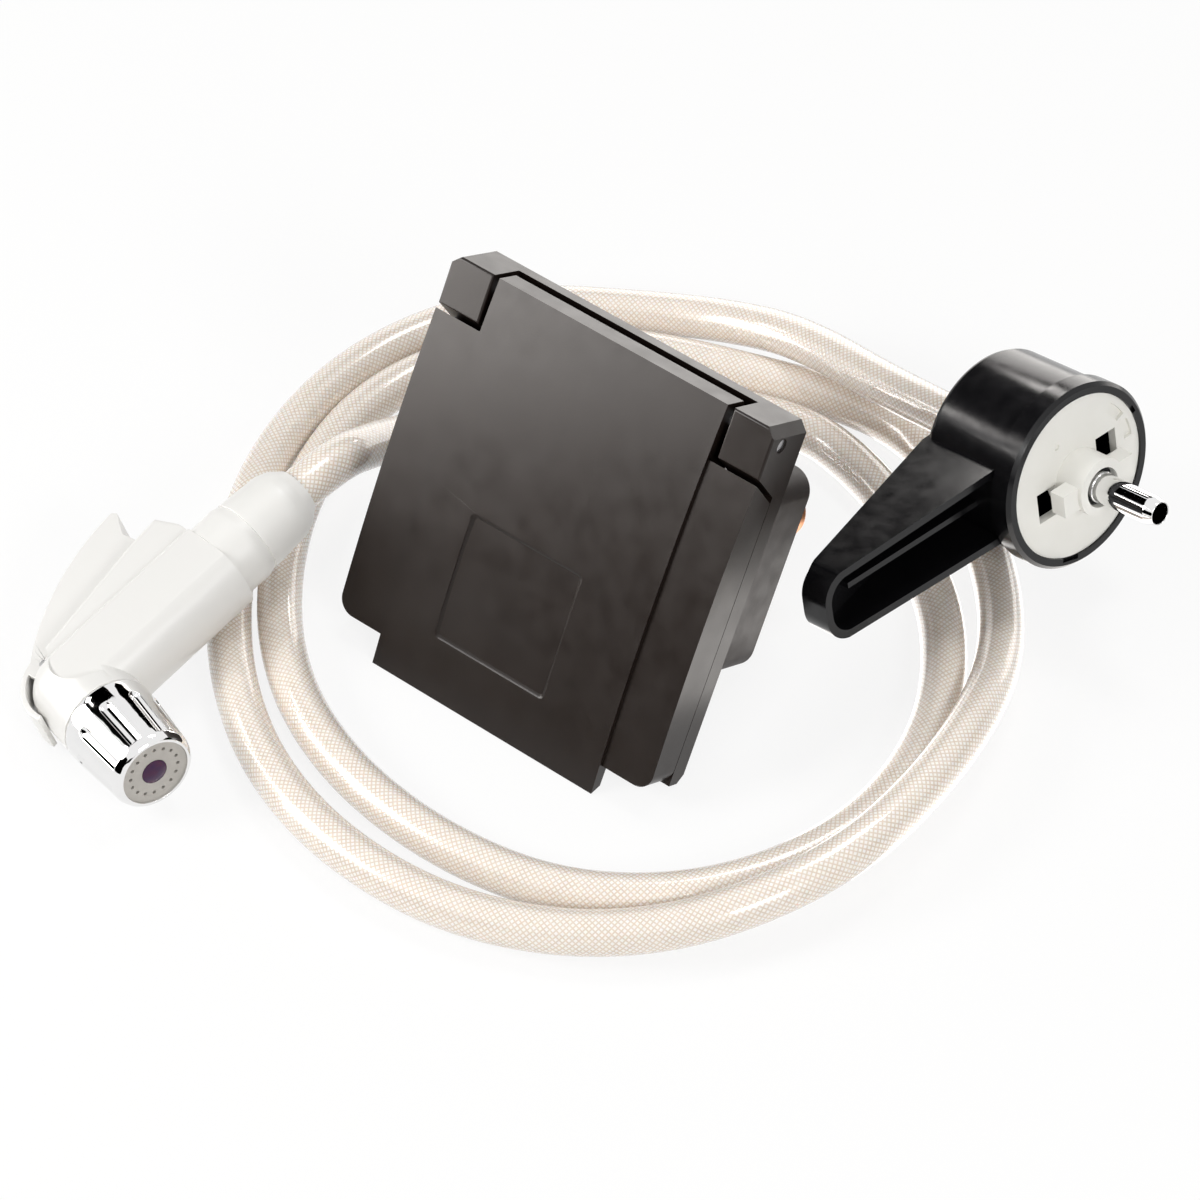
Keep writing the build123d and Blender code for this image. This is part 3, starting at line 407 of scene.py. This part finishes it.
def plasticMaterial(name, finish):
    material, tree, shader = newMaterial(name)
    patches = noise(tree, finish["patch"], detail=3)
    tree.links.new(between(tree, patches, *finish["colours"]), shader.inputs["Base Color"])
    rough = noise(tree, finish["patch"] * roughShare["plastic"], detail=4)
    tree.links.new(spread(tree, rough, *finish["roughness"]), shader.inputs["Roughness"])
    bumps(tree, shader, (noise(tree, finish["swell"], detail=2), finish["swellDepth"]),
          (noise(tree, finish["grain"], detail=2), finish["grainDepth"]))
    shader.inputs["Specular IOR Level"].default_value = finish["specular"]
    shader.inputs["Coat Weight"].default_value = finish["coat"]
    shader.inputs["Coat Roughness"].default_value = coatRoughness
    return material


def metalMaterial(name, finish):
    material, tree, shader = newMaterial(name)
    patches = noise(tree, finish["patch"], detail=4)
    tree.links.new(between(tree, patches, *finish["colours"]), shader.inputs["Base Color"])
    rough = noise(tree, finish["patch"] * roughShare["metal"], detail=4)
    tree.links.new(spread(tree, rough, *finish["roughness"]), shader.inputs["Roughness"])
    bumps(tree, shader, (noise(tree, finish["swell"], detail=2), finish["swellDepth"]))
    shader.inputs["Metallic"].default_value = 1.0
    return material


braid = {
    "threads": 24,
    "turns": 21.0,  # turns a metre, so the threads cross at about a right angle
    "thick": 0.16,  # half of a thread's width, as a share of the gap between two threads
    "fade": (1.6, 0.5),  # where a thread's edge starts and is full, in shares of that
    "thread": ((0.66, 0.54, 0.43), (0.80, 0.70, 0.60)),
    "threadPatch": 4.0,  # mm, as are the sizes and depths below
    "threadDepth": 0.03,
    "clear": ((0.92, 0.88, 0.83), (0.945, 0.915, 0.88)),
    "clearPatch": 30.0,
    "roughness": (0.2, 0.34),
    "roughPatch": 5.0,
    "swell": 11.0,
    "swellDepth": 0.05,
    "coat": 0.8,
    "coatRoughness": 0.08,
    "milky": 0.25,  # share of the light that goes into the wall
    "milkyDeep": (0.004, 0.003, 0.002),  # metres, for red, green and blue
}


def mathNode(tree, operation, *values):
    made = addNode(tree, "ShaderNodeMath", operation=operation)
    for slot, value in zip(made.inputs, values):
        if isinstance(value, (int, float)):
            slot.default_value = value
        else:
            tree.links.new(value, slot)
    return made.outputs[0]


def hoseMaterial():
    material, tree, shader = newMaterial("braidedHose")
    place = addNode(tree, "ShaderNodeUVMap", uv_map="wound")
    apart = addNode(tree, "ShaderNodeSeparateXYZ")
    tree.links.new(place.outputs["UV"], apart.inputs[0])
    covered = []
    for turn in (-1, 1):
        lead = mathNode(tree, "MULTIPLY", apart.outputs["Y"], turn * braid["turns"])
        wound = mathNode(tree, "ADD", apart.outputs["X"], lead)
        count = mathNode(tree, "MULTIPLY", wound, braid["threads"])
        saw = mathNode(tree, "PINGPONG", count, 0.5)
        edge = addNode(tree, "ShaderNodeMapRange", interpolation_type="SMOOTHSTEP")
        edge.inputs["From Min"].default_value = braid["thick"] * braid["fade"][0]
        edge.inputs["From Max"].default_value = braid["thick"] * braid["fade"][1]
        tree.links.new(saw, edge.inputs["Value"])
        covered.append(edge.outputs["Result"])
    net = mathNode(tree, "MAXIMUM", *covered)
    cleared = between(tree, noise(tree, braid["clearPatch"], detail=2), *braid["clear"])
    threaded = between(tree, noise(tree, braid["threadPatch"], detail=3), *braid["thread"])
    mixed = addNode(tree, "ShaderNodeMix", data_type="RGBA")
    tree.links.new(net, mixed.inputs["Factor"])
    tree.links.new(cleared, mixed.inputs["A"])
    tree.links.new(threaded, mixed.inputs["B"])
    tree.links.new(mixed.outputs["Result"], shader.inputs["Base Color"])
    rough = noise(tree, braid["roughPatch"], detail=3)
    tree.links.new(spread(tree, rough, *braid["roughness"]), shader.inputs["Roughness"])
    swell = noise(tree, braid["swell"], detail=2)
    bumps(tree, shader, (swell, braid["swellDepth"]), (net, braid["threadDepth"]))
    shader.inputs["Coat Weight"].default_value = braid["coat"]
    shader.inputs["Coat Roughness"].default_value = braid["coatRoughness"]
    shader.inputs["Subsurface Weight"].default_value = braid["milky"]
    shader.inputs["Subsurface Radius"].default_value = braid["milkyDeep"]
    shader.inputs["Subsurface Scale"].default_value = 1.0
    return material


materials = {name: plasticMaterial(name, finish) for name, finish in finishes.items()}
materials.update({name: metalMaterial(name, finish) for name, finish in metals.items()})
hosePiece.data.materials.append(hoseMaterial())
makeLidSquare().data.materials.append(materials["boxPlastic"])
print("materials made")

# Finish of every CAD node, with the round of its edges in mm

dressed = {
    "wall_frame": ("boxPlastic", 0.55),
    "lid": ("boxPlastic", 0.5),
    "lid_catch": ("tubPlastic", 0.2),
    "rear_tub": ("tubPlastic", 0.6),
    "socket_plate": ("tubPlastic", 0.3),
    "socket_ring": ("socketPlastic", 0.25),
    "mixer_rotor": ("socketPlastic", 0.2),
    "lid_seal": ("rubber", 0.2),
    "wall_gasket": ("rubber", 0.2),
    "rotor_seals": ("rubber", 0),
    "spigot_seals": ("rubber", 0),
    "valve_seal": ("rubber", 0),
    "tail_washer": ("rubber", 0),
    "head_gasket": ("rubber", 0),
    "hinge_pins": ("steel", 0.3),
    "plate_screws": ("steel", 0.1),
    "trigger_pin": ("steel", 0.1),
    "trigger_spring": ("steel", 0),
    "spigot_clip": ("steel", 0),
    "plug_ferrule": ("steel", 0.1),
    "hose_clamp": ("steel", 0.1),
    "mixer_body": ("brass", 0.4),
    "tail_nuts": ("brass", 0.4),
    "tail_olives": ("brass", 0.1),
    "valve_stem": ("brass", 0.1),
    "valve_gland": ("brass", 0.1),
    "valve_seat": ("brass", 0.1),
    "plug_tail": ("brass", 0.1),
    "shower_tail": ("brass", 0.1),
    "hot_tail": ("copper", 0),
    "cold_tail": ("copper", 0),
    "lever_shell": ("leverPlastic", 0.7),
    "plug_bush": ("leverPlastic", 0.2),
    "bayonet_disc": ("discPlastic", 0.35),
    "spigot": ("chrome", 0.2),
    "head_shell": ("chrome", 0.3),
    "shower_body": ("showerPlastic", 0.8),
    "trigger": ("showerPlastic", 0.5),
    "neck_collar": ("nutPlastic", 0.4),
    "hose_nut": ("nutPlastic", 0.4),
    "rose_plate": ("rosePlastic", 0.1),
    "rose_button": ("roseButtonPlastic", 0),
}


edges = {
    "weld": 0.002,  # mm
    "segments": 3,
    "sharp": 38,  # degrees, above which an edge is rounded
    "evenness": 80,
}


def softenEdges(piece, radius):
    normals = piece.data.attributes.get("custom_normal")
    if normals:
        piece.data.attributes.remove(normals)
    for face in piece.data.polygons:
        face.use_smooth = True
    weld = piece.modifiers.new("weld", "WELD")
    weld.merge_threshold = edges["weld"] * mm
    if radius:
        bevel = piece.modifiers.new("softEdges", "BEVEL")
        bevel.width = radius * mm
        bevel.segments = edges["segments"]
        bevel.limit_method = "ANGLE"
        bevel.angle_limit = math.radians(edges["sharp"])
        bevel.harden_normals = False
    even = piece.modifiers.new("evenShade", "WEIGHTED_NORMAL")
    even.keep_sharp = True
    even.weight = edges["evenness"]


for nodeName, (finishName, edgeRadius) in dressed.items():
    node = nodes[nodeName]
    node.data.materials.clear()
    node.data.materials.append(materials[finishName])
    softenEdges(node, edgeRadius)
print("nodes dressed")

# Floor and light

floor = {
    "across": 6.0,
    "level": -0.0003,  # metres, just under what lies on it
    "colour": (0.90, 0.895, 0.885),
    "roughness": 0.9,
    "glow": 0.86,  # share of plain white that the camera sees
}
lamps = {
    "key": {"at": (-1.05, -0.15, 0.75), "aim": (0.0, 0.0, 0.05), "size": (0.5, 0.4), "power": 8.0},
    "top": {"at": (0.35, 0.55, 1.5), "aim": (0.0, 0.0, 0.0), "size": (0.5, 0.35), "power": 6.5},
    "front": {"at": (0.6, -1.1, 0.9), "aim": (0.0, 0.0, 0.0), "size": (0.5, 0.4), "power": 8.0},
}
sky = {"colour": (1.0, 0.995, 0.985), "strength": 0.38}
cardGlow = (1, 0.97, 0.94)

# Panels that only reflections show, in metres, bright at "from" and black at "to", or black all over

cards = {
    "left": {"at": (-0.50, -0.22, 0.17), "aim": (0.0, 0.0, 0.10), "size": (0.8, 0.36),
             "bright": 14.0, "from": (-0.13, 0.05), "to": (-0.02, -0.03)},
    "back": {"at": (0.15, 0.34, 0.08), "aim": (0.15, 0.0, 0.08), "size": (0.9, 0.16),
             "bright": 3.5, "from": (0.0, 0.0), "to": (0.5, 0.0)},
    "high": {"at": (-0.72, 0.60, 0.75), "aim": (0.0, 0.0, 0.0), "size": (1.0, 0.5)},
    "behindPlug": {"at": (0.06, 0.50, 0.26), "aim": (0.12, 0.0, 0.06), "size": (0.4, 0.3)},
    "plugStrip": {"at": (0.108, 0.316, 0.212), "aim": (0.14, 0.04, 0.08), "size": (0.055, 0.04),
                  "bright": 14.0, "from": (0.0, 0.0), "to": (0.04, 0.0)},
    "leftStrip": {"at": (-0.60, 0.24, 0.40), "aim": (0.14, 0.0, 0.05), "size": (0.14, 0.10),
                  "bright": 11.0, "from": (0.0, 0.0), "to": (0.08, 0.0)},
    "right": {"at": (0.75, -0.05, 0.22), "aim": (0.1, 0.0, 0.05), "size": (0.7, 0.3)},
    "side": {"at": (0.115, -0.005, 0.0006), "aim": (0.115, -0.005, -1.0), "size": (0.11, 0.2),
             "bright": 3.0, "from": (0.0, 0.0), "to": (0.12, 0.0)},
    "front": {"at": (-0.35, -0.75, 0.30), "aim": (-0.1, 0.0, 0.04), "size": (1.2, 0.14)},
}


def seenDirectly(tree):
    rays = addNode(tree, "ShaderNodeLightPath")
    either = mathNode(tree, "MAXIMUM", rays.outputs["Is Camera Ray"], rays.outputs["Is Glossy Ray"])
    return mathNode(tree, "MAXIMUM", either, rays.outputs["Is Transmission Ray"])


def flatPanel(name, wide, high, level=0.0):
    mesh = bpy.data.meshes.new(name)
    x = wide / 2
    y = high / 2
    corners = [(-x, -y, level), (x, -y, level), (x, y, level), (-x, y, level)]
    mesh.from_pydata(corners, [], [(0, 1, 2, 3)])
    return putIn(name, mesh)


def aimFrom(piece, at, aim):
    piece.location = at
    piece.rotation_euler = (Vector(aim) - Vector(at)).to_track_quat("-Z", "Y").to_euler()


def makeFloor():
    piece = flatPanel("studioFloor", floor["across"], floor["across"], floor["level"])
    material, tree, shader = newMaterial("studioFloor")
    shader.inputs["Base Color"].default_value = (*floor["colour"], 1)
    shader.inputs["Roughness"].default_value = floor["roughness"]
    shader.inputs["Specular IOR Level"].default_value = 0.0
    glow = addNode(tree, "ShaderNodeEmission")
    glow.inputs["Color"].default_value = (1, 1, 1, 1)
    share = mathNode(tree, "MULTIPLY", seenDirectly(tree), floor["glow"])
    mixed = addNode(tree, "ShaderNodeMixShader")
    tree.links.new(share, mixed.inputs[0])
    tree.links.new(shader.outputs[0], mixed.inputs[1])
    tree.links.new(glow.outputs[0], mixed.inputs[2])
    tree.links.new(mixed.outputs[0], tree.nodes["Material Output"].inputs["Surface"])
    piece.data.materials.append(material)


def makeLamps():
    for name, lamp in lamps.items():
        light = bpy.data.lights.new(name, "AREA")
        light.shape = "RECTANGLE"
        light.size, light.size_y = lamp["size"]
        light.energy = lamp["power"]
        aimFrom(putIn(name, light), lamp["at"], lamp["aim"])


def fadeAcross(tree, shader, card):
    start = Vector((*card["from"], 0))
    run = Vector((*card["to"], 0)) - start
    where = addNode(tree, "ShaderNodeTexCoord")
    away = addNode(tree, "ShaderNodeVectorMath", operation="SUBTRACT")
    away.inputs[1].default_value = start
    tree.links.new(where.outputs["Object"], away.inputs[0])
    share = addNode(tree, "ShaderNodeVectorMath", operation="DOT_PRODUCT")
    share.inputs[1].default_value = run / run.length_squared
    tree.links.new(away.outputs[0], share.inputs[0])
    fade = addNode(tree, "ShaderNodeMapRange", interpolation_type="SMOOTHSTEP")
    fade.inputs["To Min"].default_value = card["bright"]
    fade.inputs["To Max"].default_value = 0.0
    tree.links.new(share.outputs["Value"], fade.inputs["Value"])
    tree.links.new(fade.outputs["Result"], shader.inputs["Emission Strength"])


def makeCards():
    for name, card in cards.items():
        piece = flatPanel(name + "Card", *card["size"])
        aimFrom(piece, card["at"], card["aim"])
        material, tree, shader = newMaterial(name + "Card")
        shader.inputs["Base Color"].default_value = (0, 0, 0, 1)
        shader.inputs["Specular IOR Level"].default_value = 0.0
        shader.inputs["Roughness"].default_value = 1.0
        shader.inputs["Emission Color"].default_value = (*cardGlow, 1)
        if "bright" in card:
            fadeAcross(tree, shader, card)
        piece.data.materials.append(material)
        piece.visible_camera = False
        piece.visible_diffuse = False
        piece.visible_shadow = False
        piece.visible_transmission = False


def makeSky():
    world = bpy.data.worlds.new("studio")
    world.use_nodes = True
    tree = world.node_tree
    plain = tree.nodes["Background"]
    plain.inputs["Color"].default_value = (*sky["colour"], 1)
    plain.inputs["Strength"].default_value = sky["strength"]
    white = addNode(tree, "ShaderNodeBackground")
    white.inputs["Color"].default_value = (1, 1, 1, 1)
    mixed = addNode(tree, "ShaderNodeMixShader")
    tree.links.new(seenDirectly(tree), mixed.inputs[0])
    tree.links.new(plain.outputs[0], mixed.inputs[1])
    tree.links.new(white.outputs[0], mixed.inputs[2])
    tree.links.new(mixed.outputs[0], tree.nodes["World Output"].inputs["Surface"])
    bpy.context.scene.world = world


makeFloor()
makeLamps()
makeCards()
makeSky()
bpy.context.scene.view_settings.view_transform = "Standard"
print("studio lit")
